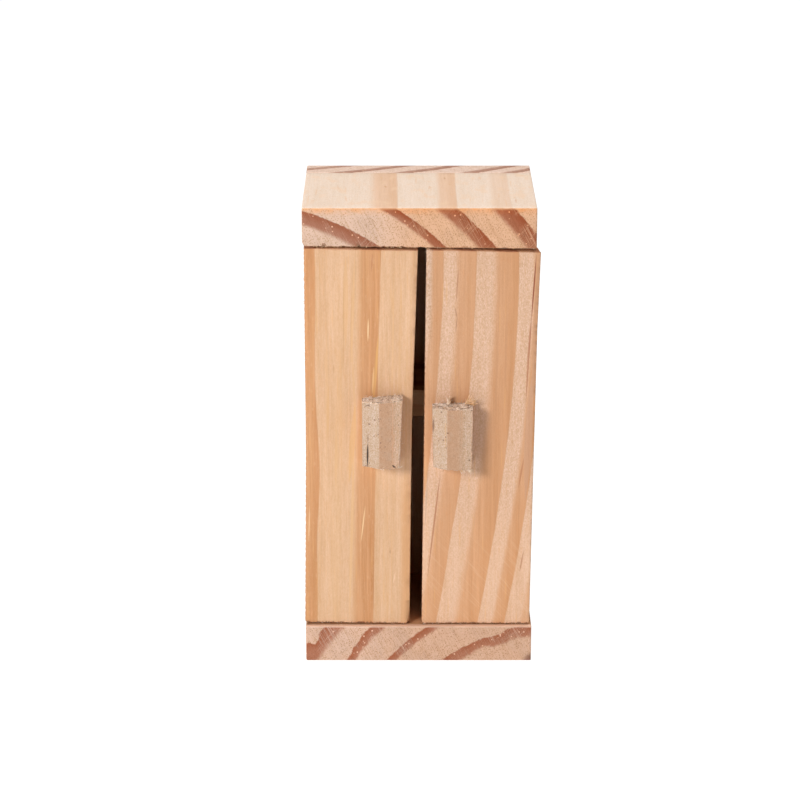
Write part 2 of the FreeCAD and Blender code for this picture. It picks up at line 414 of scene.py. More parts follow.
RIGHT_DOOR_STREAKS = [
    ((4.6, 43.0), (1.9, 19.0), 0.35, RESIN, 0.75),
    ((24.9, 91.0), (23.9, 58.0), 1.3, (0.52, 0.29, 0.18), 0.4),
    ((24.2, 90.2), (23.35, 76.0), 0.3, (0.30, 0.09, 0.045), 1.0),
    ((23.4, 77.0), (22.8, 66.0), 0.24, (0.36, 0.14, 0.08), 0.8),
    ((22.9, 67.0), (22.4, 58.0), 0.2, RESIN, 0.7),
    ((23.2, 76.5), (22.5, 60.0), 0.45, RESIN, 0.55),
    ((23.6, 64.0), (22.6, 36.0), 1.6, (0.55, 0.33, 0.23), 0.4),
    ((22.2, 46.0), (21.1, 39.0), 0.35, RESIN, 0.6),
    ((22.4, 25.0), (21.6, 20.0), 0.35, RESIN, 0.6),
    ((8.1, 87.5), (7.7, 80.0), 0.26, (0.46, 0.22, 0.12), 0.75),
    ((7.4, 79.0), (7.9, 76.5), 0.26, (0.42, 0.21, 0.12), 0.7),
    ((7.9, 76.8), (7.6, 73.5), 0.22, (0.42, 0.21, 0.12), 0.7),
    ((2.6, 76.0), (1.0, 58.0), 0.3, (0.55, 0.30, 0.16), 0.5),
    ((16.8, 88.0), (16.0, 50.0), 0.35, (0.55, 0.28, 0.15), 0.35),
    ((10.2, 70.0), (9.0, 44.0), 0.35, (0.56, 0.27, 0.13), 0.35),
    ((17.6, 50.0), (15.6, 26.0), 0.3, (0.56, 0.29, 0.15), 0.35),
    ((18.4, 80.0), (17.9, 58.0), 0.5, (0.55, 0.28, 0.15), 0.3),
    ((9.6, 91.0), (9.2, 78.0), 0.4, (0.56, 0.29, 0.15), 0.35),
    ((2.0, 44.0), (1.3, 30.0), 0.35, (0.50, 0.32, 0.22), 0.5),
    ((13.0, 40.0), (9.6, 16.0), 0.5, (0.58, 0.30, 0.16), 0.3),
    ((5.4, 44.5), (5.1, 42.6), 0.25, (0.40, 0.22, 0.13), 0.6),
]
TOP_FACE_MARKS = [
    ((-17.3, 1.0), (-16.8, -3.5), 0.35, (0.72, 0.46, 0.28), 0.45),
    ((-15.4, -9.5), (-15.0, -14.0), 0.5, (0.74, 0.48, 0.29), 0.45),
    ((-7.2, 0.5), (-6.9, -1.5), 0.45, (0.56, 0.28, 0.13), 0.55),
    ((1.2, -6.0), (1.6, -11.0), 0.8, (0.78, 0.52, 0.33), 0.45),
    ((2.3, 0.5), (2.1, -3.0), 0.4, (0.70, 0.42, 0.24), 0.45),
    ((5.5, 8.5), (5.6, 6.0), 0.4, (0.52, 0.26, 0.13), 0.5),
    ((13.0, 9.0), (13.2, 6.0), 0.6, (0.74, 0.47, 0.28), 0.45),
    ((20.1, -11.0), (20.0, -15.0), 0.3, (0.60, 0.32, 0.16), 0.5),
]


def door_face(g):
    """1 on the front of the doors, fading out inside the wood."""
    return g.span(g.axes["y"], DOOR_FRONT_MM + 0.4, DOOR_FRONT_MM + 1.4, 1.0, 0.0)


def right_door_rings(g):
    """Bands that lean away to the lower left, more and more towards the foot."""
    down = g.math("DIVIDE", g.math("SUBTRACT", 89.0, g.axes["z"]), 81.0)
    lean = g.times(g.math("POWER", g.math("MAXIMUM", down, 0.0), 1.8), 8.2)
    depth = g.math("SUBTRACT", g.axes["y"], DOOR_FRONT_MM)
    return g.sum(g.axes["x"], lean, g.times(depth, 0.55), g.times(g.math("POWER", depth, 2.0), 0.02))


def left_door_rings(g):
    """Nearly upright bands; the outer one swells a little at mid height."""
    z = g.axes["z"]
    inner = g.span(g.axes["x"], -20.0, -14.0)
    lean = g.times(g.times(g.math("SUBTRACT", 91.0, z), 0.0225), inner)
    swell = g.times(g.span(g.math("ABSOLUTE", g.math("SUBTRACT", z, 43.0)), 0.0, 20.0, 1.0, 0.0),
                    g.times(g.math("SUBTRACT", 1.0, inner), -0.9))
    depth = g.math("SUBTRACT", g.axes["y"], DOOR_FRONT_MM)
    return g.sum(g.axes["x"], lean, swell, g.times(depth, -0.5), g.times(g.math("POWER", depth, 2.0), -0.015))


def shaded_broken_foot(g, colour, side, slope, foot):
    """Painted shade at a door's lower edge: dark nicks for the shade in the hollows where the saw broke
    fibres out, and a dark band along the lowest arris for the shadow in the gap beneath the door.
    """
    height = g.sum(g.axes["z"], g.times(g.axes["x"], slope))
    nicks = g.span(g.noise(g.join(g.times(g.axes["x"], 1.5), g.times(g.axes["y"], 1.5), 4.0), detail=3.0,
                           roughness=0.75), 0.49, 0.56)
    low = g.span(height, foot + 0.2, foot + 0.55, 1.0, 0.0)
    # painted shade in the broken-out nicks near the foot
    colour = g.mix(g.times(g.times(nicks, low), g.times(side, 0.85)), colour, (0.17, 0.075, 0.04))
    # painted shadow of the gap beneath the door, along the lowest arris
    return g.mix(g.span(height, foot + 0.02, foot + 0.22, 0.65, 0.0), colour, (0.30, 0.12, 0.055))


def left_door_marks(g, colour, end, side):
    """A tan free edge low down, honey-coloured strands, pale and dark dashes, streaks and specks."""
    face = door_face(g)
    z = g.axes["z"]
    grain = (g.axes["x"], g.axes["y"], z)
    edge_band = g.times(g.span(g.axes["x"], -4.4, -2.9), g.span(z, 34.0, 46.0, 1.0, 0.0))
    colour = g.mix(g.times(edge_band, g.times(side, 0.7)), colour, (0.68, 0.35, 0.16))
    honey = stretched(g, grain, 0.5, 0.022, detail=4.0, roughness=0.6)
    strands = stretched(g, grain, 3.2, 0.05, detail=3.0, roughness=0.7)
    honey = g.times(g.span(honey, 0.47, 0.66), g.span(strands, 0.4, 0.62))
    colour = g.mix(g.times(honey, g.times(side, 0.42)), colour, (0.72, 0.40, 0.18))
    soft_band = g.span(g.math("ABSOLUTE", g.sum(g.axes["x"], 18.0, g.times(z, -0.016))), 0.2, 1.6, 1.0, 0.0)
    colour = g.mix(g.times(soft_band, g.times(g.span(z, 86.0, 60.0), 0.20)), colour, (0.70, 0.42, 0.20))
    dash = stretched(g, grain, 2.6, 0.5, detail=3.0, roughness=0.7)
    colour = g.mix(g.times(g.span(dash, 0.56, 0.68), g.times(face, 0.18)), colour, (0.84, 0.57, 0.38))
    colour = g.mix(g.times(g.span(dash, 0.46, 0.34), g.times(face, 0.4)), colour, (0.64, 0.35, 0.18))
    # painted shade along the door's foot
    colour = shaded_broken_foot(g, colour, side, 0.0134, 8.12)
    return add_marks(g, colour, face, "x", "z", LEFT_DOOR_STREAKS)


def right_door_marks(g, colour, end, side):
    """Paler wood low down, a grey woolly free edge near the top, resin lines and scratches."""
    face = door_face(g)
    z = g.axes["z"]
    colour = g.mix(g.times(g.span(z, 46.0, 20.0), side), colour,
                   g.mix(1.0, colour, (1.08, 1.06, 1.03), "MULTIPLY"))
    wool = g.times(g.span(g.axes["x"], 3.1, 2.2), g.span(z, 62.0, 80.0))
    slanted = g.join(
        g.sum(g.times(g.axes["x"], 2.7), g.times(z, 1.3)),
        g.axes["y"],
        g.sum(g.times(z, 2.3), g.times(g.axes["x"], -1.6)),
    )
    flock = g.noise(slanted, detail=3.0, roughness=0.8)
    colour = g.mix(g.times(wool, 0.5), colour, (0.60, 0.42, 0.31))
    colour = tinted(g, colour, g.sum(1.0, g.times(g.times(g.math("SUBTRACT", flock, 0.52), 1.2), wool)))
    colour = add_marks(g, colour, face, "x", "z", RIGHT_DOOR_STREAKS)
    # painted shade along the door's foot
    colour = shaded_broken_foot(g, colour, side, 0.0, 8.17)
    slant = thin_lines(g, g.sum(g.times(g.axes["x"], 0.75), g.times(z, 0.66)),
                       g.sum(g.times(z, 0.75), g.times(g.axes["x"], -0.66)), 1.7, 0.03)
    low = g.times(g.span(z, 34.0, 22.0), g.times(face, 0.2))
    return g.mix(g.times(slant, low), colour, (0.86, 0.60, 0.42))


def top_board_marks(g, colour, end, side):
    """Tan end grain towards the right, an orange arris, painted shade on the underside of the front lip over
    the doors, and stains on the top face.
    """
    x = g.axes["x"]
    # painted shade: the underside of the front lip is darkened as the shadow in the gap above the doors
    lip = g.times(g.span(g.facing["z"], -0.25, -0.6), g.span(g.axes["y"], FRONT_MM + 2.0, FRONT_MM + 0.6))
    colour = g.mix(g.times(lip, 0.8), colour, (0.34, 0.15, 0.075))
    arris = g.times(g.span(g.axes["z"], HEIGHT_MM - 1.9, HEIGHT_MM - 0.1), end)
    tan = g.times(end, g.span(x, -12.0, 1.0))
    colour = g.mix(g.times(tan, 0.8), colour, g.mix(1.0, colour, (1.02, 0.84, 0.64), "MULTIPLY"))
    blotch = g.span(g.noise(g.join(g.times(x, 0.5), 3.0, g.times(g.axes["z"], 0.9)), detail=3.0), 0.4, 0.62)
    warm = g.mix(1.0, colour, (1.12, 0.84, 0.56), "MULTIPLY")
    colour = g.mix(g.times(arris, g.sum(0.45, g.times(blotch, 0.55))), colour, warm)
    rim = g.times(g.span(g.axes["z"], HEIGHT_MM - 0.6, HEIGHT_MM - 0.15), end)
    colour = g.mix(g.times(rim, 0.45), colour, (0.78, 0.42, 0.20))
    stain = g.span(g.noise(g.join(g.times(x, 0.4), g.times(g.axes["y"], 0.17), 5.0), detail=4.0), 0.52, 0.68)
    colour = g.mix(g.times(g.times(stain, side), 0.5), colour, (0.79, 0.555, 0.38))
    fleck = g.span(g.cells(g.join(g.times(x, 0.45), g.times(g.axes["y"], 0.28), 2.0)), 0.1, 0.2, 1.0, 0.0)
    fleck = g.times(fleck, g.span(g.noise(g.position, scale=0.9), 0.5, 0.6))
    colour = g.mix(g.times(g.times(fleck, side), 0.4), colour, (0.72, 0.42, 0.20))
    return add_marks(g, colour, g.span(g.facing["z"], 0.7, 0.9), "x", "y", TOP_FACE_MARKS)


def bottom_board_marks(g, colour, end, side):
    """Paler end grain towards the left; painted shade that darkens the long grain to a saturated brown, as
    beneath and behind the doors, with a pale strip left along the top's front edge; and a painted dark shadow
    at the lower right.
    """
    lip = g.times(side, g.span(g.axes["y"], FRONT_MM + 0.9, FRONT_MM + 1.5, 1.0, 0.0))
    # painted shade: all long grain darkened to a saturated brown, as in the shade beneath and behind the
    # doors
    colour = g.mix(g.times(side, 0.6), colour, (0.62, 0.32, 0.16))
    # the strip in front of the doors, outside that painted shade, stays pale
    colour = g.mix(g.times(lip, 0.9), colour, (0.84, 0.53, 0.37))
    arris = g.times(end, g.span(g.axes["z"], BASE_TOP_MM - 0.4, BASE_TOP_MM - 0.1))
    colour = g.mix(g.times(arris, 0.6), colour, (0.88, 0.60, 0.46))
    pale = g.times(g.span(g.axes["x"], 2.0, -16.0), end)
    colour = g.mix(g.times(pale, 0.9), colour, g.mix(1.0, colour, (1.08, 1.15, 1.24), "MULTIPLY"))
    corner = g.sum(
        g.math("POWER", g.math("SUBTRACT", g.axes["x"], HALF_WIDTH_MM), 2.0),
        g.math("POWER", g.axes["z"], 2.0),
    )
    return g.mix(g.times(g.span(corner, 0.5, 4.0, 0.8, 0.0), end), colour, (0.24, 0.10, 0.06))


def stick_marks(band_low, band_high, specks):
    """One tan band up the middle facet, a fresher right facet, grey patches, torn ends and specks."""
    def marks(g, colour, end, side):
        x, y, z = g.axes["x"], g.axes["y"], g.axes["z"]
        band = g.times(g.span(x, band_low - 0.2, band_low + 0.2), g.span(x, band_high + 1.1, band_high - 0.8))
        colour = g.mix(g.times(band, g.sum(0.35, g.times(side, 0.6))), colour, (0.50, 0.29, 0.175))
        fresh = g.times(g.span(g.facing["x"], 0.1, 0.4), side)
        colour = g.mix(g.times(fresh, 0.9), colour, g.mix(1.0, colour, (1.33, 1.19, 1.09), "MULTIPLY"))
        grain = stretched(g, (x, y, z), 5.0, 3.2, roughness=0.75)
        rough = g.sum(0.6, g.times(g.math("SUBTRACT", 1.0, band), 0.5), end)
        colour = tinted(g, colour, g.sum(1.0, g.times(g.times(g.math("SUBTRACT", grain, 0.5), 0.85), rough)))
        torn = g.noise(g.join(g.times(x, 0.7), g.times(y, 2.2), g.times(z, 2.2)), detail=3.0, roughness=0.7)
        colour = g.mix(g.times(g.span(torn, 0.47, 0.4), g.times(end, 0.8)), colour, (0.20, 0.13, 0.09))
        colour = g.mix(g.times(g.span(torn, 0.54, 0.66), g.times(end, 0.6)), colour, (0.84, 0.70, 0.56))
        grey = g.span(g.noise(g.position, scale=0.55, detail=4.0, roughness=0.7), 0.48, 0.68)
        colour = g.mix(g.times(grey, g.sum(0.15, g.times(end, 0.15))), colour, (0.46, 0.39, 0.32))
        dots = g.times(g.span(g.cells(g.position, 0.95), 0.13, 0.22, 1.0, 0.0), side)
        sparse = g.span(g.noise(g.position, scale=0.6), 0.45, 0.6, 0.1, 0.75)
        colour = g.mix(g.times(dots, sparse), colour, DARK)
        pale = g.span(g.noise(g.position, scale=4.0, detail=2.0, roughness=0.7), 0.6, 0.72)
        colour = g.mix(g.times(pale, g.times(rough, 0.25)), colour, (0.80, 0.66, 0.52))
        return add_marks(g, colour, 1.0, "x", "z", specks)
    return marks


def upright(shift):
    """Flat upright rings facing sideways."""
    def coordinate(g):
        return g.math("SUBTRACT", g.axes["x"], shift)
    return coordinate


# darker, redder pine for the side panels and the shelf: painted shade of the wardrobe's dark inside
INSIDE = dict(early=(0.56, 0.31, 0.155), late=(0.48, 0.23, 0.10), end_early=(0.62, 0.40, 0.28),
              end_late=(0.36, 0.15, 0.08))
STICK = dict(early=(0.54, 0.38, 0.27), late=(0.54, 0.38, 0.27), end_early=(0.68, 0.52, 0.41),
             end_late=(0.68, 0.52, 0.41), rings=[(-80.0, -79.0, 1.0)], streak=0.7, fuzz=0.8)

# where the rings of the bottom board's end grain bend: (x, z, radius, push)
BOTTOM_KINKS = [
    (-24.2, 2.4, 2.4, -1.2),
    (-21.8, 4.4, 1.9, 0.8),
    (-11.2, 6.6, 2.6, -0.4),
    (-15.0, 0.6, 2.6, 0.5),
    (17.0, 4.6, 3.0, 0.4),
    (20.5, 7.6, 3.2, -0.4),
    (13.4, 2.6, 2.4, -0.4),
]

materials = {
    "top_board": pine(
        "pine_top_board", "y", around_pith("x", "z", -40.5, 44.5),
        [(54.2, 57.6, 0.95), (64.0, 66.2, 1.0), (70.3, 73.8, 1.0), (77.9, 82.0, 1.0)],
        CREAM, TAN, (0.70, 0.485, 0.37), (0.30, 0.082, 0.032), scratch=1.0, streak=0.3, wave=0.2,
        marks=top_board_marks, long_rings=[(63.2, 66.4, 0.95), (70.9, 73.8, 0.9), (78.3, 81.6, 0.45)]),
    "bottom_board": pine(
        "pine_bottom_board", "y", bent(around_pith("x", "z", 29.0, -31.2), BOTTOM_KINKS),
        [(30.0, 32.0, 1.0), (36.7, 39.4, 0.97), (45.7, 47.6, 1.0), (52.8, 55.0, 1.0), (58.9, 62.9, 1.0)],
        # dark, red long grain: painted shade of the wardrobe's inside
        (0.52, 0.28, 0.14), (0.46, 0.22, 0.10), (0.66, 0.403, 0.272), (0.35, 0.102, 0.042),
        scratch=1.0, wander=1.6, wave=0.0, marks=bottom_board_marks),
    "back_panel": pine(
        "pine_back_panel", "z", around_pith("x", "y", -72.0, 140.0),
        [(131.9, 134.2, 0.9), (137.7, 140.1, 1.0), (143.6, 146.0, 1.0), (150.6, 153.1, 1.0),
         (155.6, 158.0, 1.0)],
        (0.70, 0.45, 0.28), (0.62, 0.32, 0.16), (0.74, 0.545, 0.445), (0.38, 0.19, 0.13)),
    "side_panel_left": pine(
        "pine_side_left", "z", around_pith("y", "x", 35.0, -70.0),
        [(46.0, 48.5, 0.8), (53.0, 55.5, 0.9), (60.0, 63.0, 1.0), (68.0, 70.5, 0.9)], **INSIDE),
    "side_panel_right": pine(
        "pine_side_right", "z", around_pith("y", "x", -40.0, 75.0),
        [(50.0, 52.5, 0.8), (57.0, 60.0, 0.9), (65.0, 68.0, 1.0), (73.0, 75.5, 0.9), (80.0, 83.0, 0.9)],
        **INSIDE),
    "shelf": pine(
        "pine_shelf", "x", around_pith("y", "z", 30.0, 20.0),
        [(34.0, 36.0, 0.8), (41.0, 43.5, 0.9), (48.0, 51.0, 1.0), (56.0, 58.5, 1.0)], **INSIDE),
    "door_left": pine(
        "pine_left_door", "z", left_door_rings,
        [(-29.0, -21.8, 1.0), (-13.0, -8.0, 1.0), (-2.4, 2.0, 0.3)],
        (0.705, 0.44, 0.265), (0.60, 0.29, 0.13), (0.64, 0.36, 0.21), (0.40, 0.15, 0.07), streak=0.75,
        fuzz=0.3, wander=0.6, marks=left_door_marks),
    "door_right": pine(
        "pine_right_door", "z", right_door_rings,
        [(1.9, 5.0, 0.9), (7.3, 11.9, 0.9), (14.9, 20.8, 1.0), (23.4, 26.7, 1.0), (29.4, 33.0, 0.7)],
        (0.68, 0.435, 0.293), (0.60, 0.305, 0.15), (0.64, 0.36, 0.21), (0.40, 0.15, 0.07), streak=0.45,
        fuzz=1.0, wander=0.6, planed=0.55, marks=right_door_marks),
    "handle_left": pine(
        "pine_left_handle", "z", upright(0.0), marks=stick_marks(-8.38, -5.6, [
            ((-10.75, 50.4), (-10.85, 45.0), 0.36, CRACK, 1.0),
            ((-10.7, 52.6), (-10.75, 50.2), 0.2, DARK, 0.6),
            ((-11.4, 58.3), (-10.2, 59.0), 0.45, DARK, 0.7),
            ((-10.6, 45.8), (-11.5, 45.0), 0.4, DARK, 0.5),
            ((-5.6, 46.0), (-4.9, 45.1), 0.5, CRACK, 0.85),
        ]), **STICK),
    "handle_right": pine(
        "pine_right_handle", "z", upright(0.0), marks=stick_marks(5.85, 8.6, [
            ((3.05, 55.6), (2.95, 52.6), 0.35, DARK, 0.7),
        ]), **STICK),
}
steel_wire = steel()


# ---------------------------------------------------------------- worn meshes
X, Y, Z = range(3)

# cell sizes along x, y and z, finest across the end grain and along the sawn edges
BOARD_CELLS = (0.4 * MM, 2.2 * MM, 0.7 * MM)
BACK_CELLS = (0.7 * MM, 1.2 * MM, 1.6 * MM)
SIDE_CELLS = (1.5 * MM, 1.3 * MM, 1.2 * MM)
SHELF_CELLS = (0.8 * MM, 1.5 * MM, 1.2 * MM)
DOOR_CELLS = (1.5 * MM, 1.6 * MM, 0.35 * MM)
STICK_CELLS = (0.25 * MM, 0.3 * MM, 0.35 * MM)

EASED = 0.2 * MM            # width of the eased arrises
BARELY_EASED = 0.16 * MM
SMOOTH = 0.02 * MM          # how deep the faces ripple
ROUGH = 0.04 * MM

# the left door's bruised lower corner: the foot of its free edge, where the bruise ends,
# how far its own edges reach, and the size of the slivers merged after cutting
BRUISED_CORNER = Vector((-1.95 * MM, left_door_low.y, left_door_low.z))
BRUISE_HEIGHT = 5.7 * MM
BRUISE_REACH = 5.8 * MM
SLIVER = 0.07 * MM


def extent(bm, axis):
    places = [vertex.co[axis] for vertex in bm.verts]
    return min(places), max(places)


def cut_at(bm, axis, place, faces=None):
    """Cuts the whole mesh, or only the given faces, by one plane across an axis."""
    geometry = bm.verts[:] + bm.edges[:] + bm.faces[:]
    if faces is not None:
        edges = {edge for face in faces for edge in face.edges}
        vertices = {vertex for face in faces for vertex in face.verts}
        geometry = list(vertices) + list(edges) + faces
    normal = Vector([1.0 if i == axis else 0.0 for i in range(3)])
    bmesh.ops.bisect_plane(bm, geom=geometry, dist=1e-7, plane_co=normal * place, plane_no=normal)


def cut_across(bm, axis, step):
    """Cuts the mesh by evenly spaced planes across one axis."""
    low, high = extent(bm, axis)
    count = max(1, round((high - low) / step))
    for i in range(1, count):
        cut_at(bm, axis, low + (high - low) * i / count)


def cut_foot(bm, step, reach=0.9 * MM):
    """Cuts only the lowest strip of the mesh into narrow upright cells."""
    foot = extent(bm, Z)[0] + reach
    cut_at(bm, Z, foot)
    low, high = extent(bm, X)
    count = round((high - low) / step)
    for i in range(1, count):
        faces = [face for face in bm.faces if face.calc_center_median().z < foot]
        cut_at(bm, X, low + (high - low) * i / count, faces)


def is_arris(edge, pin_size=1.2 * MM):
    """A sharp edge of the board, not a short edge around a pin hole."""
    if len(edge.link_faces) != 2 or edge.calc_face_angle(0.0) < math.radians(35):
        return False
    return edge.calc_length() > pin_size


def beside(edge, corner):
    """True for the short edges that bound the bruise at a corner."""
    return all((vertex.co - corner).length < BRUISE_REACH for vertex in edge.verts)


def clean_copy(node):
    """The CAD node's mesh with its flat faces in one piece each."""
    bm = bmesh.new()
    bm.from_mesh(node.data)
    bmesh.ops.remove_doubles(bm, verts=bm.verts, dist=1e-6)
    bmesh.ops.dissolve_limit(bm, angle_limit=math.radians(0.5), verts=bm.verts, edges=bm.edges)
    return bm


def saw_notch(height, pitch=1.4):
    """Small notches that a coarse saw leaves at a fairly steady pitch up a side face, 0 to 1."""
    return max(0.0, math.sin(2 * math.pi * height / pitch + 2.0 * math.sin(height * 0.7))) ** 2


def wear(bm, grain, face_depth, edge_depth, seed, torn_ends=0.0, sawn=0.0, frayed=0.0):
    """Sinks faces a little, nicks the edges, frays the lower ones and tears end grain, always inwards."""
    bm.normal_update()
    shift = Vector((seed * 17.3, seed * 5.1, seed * 9.7))
    moves = []
    for vertex in bm.verts:
        normal = vertex.normal
        place = vertex.co / MM
        edge = 1.0 - max(abs(part) for part in normal)
        along = Vector(place)
        along[grain] *= 0.15
        ripple = 0.5 + 0.5 * noise.noise(along * 1.1 + shift)
        nick = max(0.0, noise.noise(place * 1.7 + shift) + 0.5 * noise.noise(place * 4.1 + shift))
        depth = face_depth * ripple + edge_depth * edge * nick
        depth += sawn * max(0.0, -normal.x) * saw_notch(place.z)
        if torn_ends:
            across = Vector(place)
            across[grain] *= 0.3
            tear = 0.35 + noise.noise(across * 1.5 + shift) + 0.6 * noise.noise(across * 4.0 + shift)
            depth += torn_ends * max(0.0, tear) * max(0.0, abs(normal[grain]) - 0.4)
        move = normal * -depth
        if normal.z < -0.1 and edge > 0.01:
            fray = noise.noise(place * 1.3 - shift) + 0.9 * noise.noise(place * 3.7 - shift)
            move.z += frayed * min(1.0, max(0.0, fray))
        moves.append(move)
    for vertex, move in zip(bm.verts, moves):
        vertex.co += move


def finished_piece(bm, name, material, body, node_name):
    bmesh.ops.triangulate(bm, faces=[face for face in bm.faces if len(face.verts) > 4])
    mesh = bpy.data.meshes.new(name)
    bm.to_mesh(mesh)
    bm.free()
    mesh.shade_smooth()
    mesh.set_sharp_from_angle(angle=math.radians(48))
    mesh.materials.append(material)
    piece = bpy.data.objects.new(name, mesh)
    bpy.context.scene.collection.objects.link(piece)
    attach(piece, body)
    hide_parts(node_name)
    return piece


def worn_board(node_name, body, grain, steps, arris, face_depth, edge_depth, seed, torn_ends=0.0,
               sawn=0.0, frayed=0.0, foot_step=None, bruise=None):
    """A board or stick with eased, nicked edges. steps are the cell sizes along x, y and z.

    bruise is a bruised corner: the short edges beside it aren't eased.
    """
    bm = clean_copy(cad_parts[node_name])
    if bruise:
        cut_at(bm, Z, bruise.z + BRUISE_HEIGHT)
    edges = [edge for edge in bm.edges if is_arris(edge) and not (bruise and beside(edge, bruise))]
    bmesh.ops.bevel(bm, geom=edges, offset=arris, segments=3, profile=0.5, affect="EDGES")
    if foot_step:
        cut_foot(bm, foot_step)
    for axis in range(3):
        cut_across(bm, axis, steps[axis])
    if bruise:
        bmesh.ops.remove_doubles(bm, verts=bm.verts, dist=SLIVER)
    wear(bm, grain, face_depth, edge_depth, seed, torn_ends, sawn, frayed)
    return finished_piece(bm, node_name + "_wood", materials[node_name], body, node_name)


worn_board("top_board", CARCASS, Y, BOARD_CELLS, EASED, SMOOTH, 0.8 * MM, 1,
           frayed=0.45 * MM)
worn_board("bottom_board", CARCASS, Y, BOARD_CELLS, EASED, SMOOTH, 0.8 * MM, 2,
           frayed=0.12 * MM)
worn_board("back_panel", CARCASS, Z, BACK_CELLS, BARELY_EASED, SMOOTH, 0.7 * MM, 3)
worn_board("side_panel_left", CARCASS, Z, SIDE_CELLS, BARELY_EASED, SMOOTH, 0.7 * MM, 4)
worn_board("side_panel_right", CARCASS, Z, SIDE_CELLS, BARELY_EASED, SMOOTH, 0.7 * MM, 5)
worn_board("shelf", CARCASS, X, SHELF_CELLS, EASED, SMOOTH, 0.7 * MM, 6)
worn_board("door_left", LEFT, Z, DOOR_CELLS, EASED, SMOOTH, 1.2 * MM, 7,
           sawn=0.2 * MM, frayed=0.5 * MM, foot_step=0.25 * MM, bruise=BRUISED_CORNER)
worn_board("door_right", RIGHT, Z, DOOR_CELLS, EASED, SMOOTH, 1.2 * MM, 8,
           sawn=0.2 * MM, frayed=0.4 * MM, foot_step=0.25 * MM)
worn_board("handle_left", LEFT, Z, STICK_CELLS, EASED, ROUGH, 1.2 * MM, 9,
           torn_ends=0.9 * MM)
worn_board("handle_right", RIGHT, Z, STICK_CELLS, EASED, ROUGH, 1.2 * MM, 10,
           torn_ends=0.9 * MM)

for name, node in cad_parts.items():
    if name.startswith("pivot_pin"):
        node.data.materials.clear()
        node.data.materials.append(steel_wire)


# ---------------------------------------------------------------- torn fibres
def torn_wood(name, tint):
    """Pale loose fibres, a little darker at random."""
    g = Graph(name)
    cloud = g.noise(g.position, scale=1.3, detail=3.0)
    colour = tinted(g, tint, g.span(cloud, 0.3, 0.7, 0.72, 1.12))
    return g.finish(colour, 0.8, cloud, 0.01 * MM)


def add_fibre(bm, root, direction, length, thickness, bend):
    """A three-sided tapering splinter that starts inside the wood at root."""
    direction = direction.normalized()
    side = direction.orthogonal().normalized()
    third = direction.cross(side)
    steps = 4
    rings = []
    for i in range(steps + 1):
        share = i / steps
        centre = root + direction * length * share + bend * share * share
        radius = thickness * (1.0 - 0.93 * share)
        rings.append([
            bm.verts.new(centre + (side * math.cos(turn) + third * math.sin(turn)) * radius)
            for turn in (0.0, 2.1, 4.2)
        ])
    for low, high in zip(rings, rings[1:]):
        for i in range(3):
            j = (i + 1) % 3
            bm.faces.new((low[i], low[j], high[j], high[i]))
    bm.faces.new(rings[0][::-1])
    bm.faces.new(rings[-1])


def fringe(name, body, material, draw, start, stop, count, direction, lengths, thickness, spread):
    """Fibres along the line from start to stop, in millimetres, leaning about direction."""
    bm = bmesh.new()
    for _ in range(count):
        root = Vector(start).lerp(Vector(stop), draw.random())
        lean = Vector([draw.uniform(-spread, spread) for _ in range(3)])
        heading = Vector(direction).normalized() + lean
        length = draw.uniform(*lengths)
        bend = Vector([draw.uniform(-0.4, 0.4) * length for _ in range(3)])
        add_fibre(bm, root * MM, heading, length * MM, thickness * draw.uniform(0.6, 1.2) * MM, bend * MM)
    bmesh.ops.recalc_face_normals(bm, faces=bm.faces)
    mesh = bpy.data.meshes.new(name)
    bm.to_mesh(mesh)
    bm.free()
    mesh.materials.append(material)
    piece = bpy.data.objects.new(name, mesh)
    bpy.context.scene.collection.objects.link(piece)
    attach(piece, body)


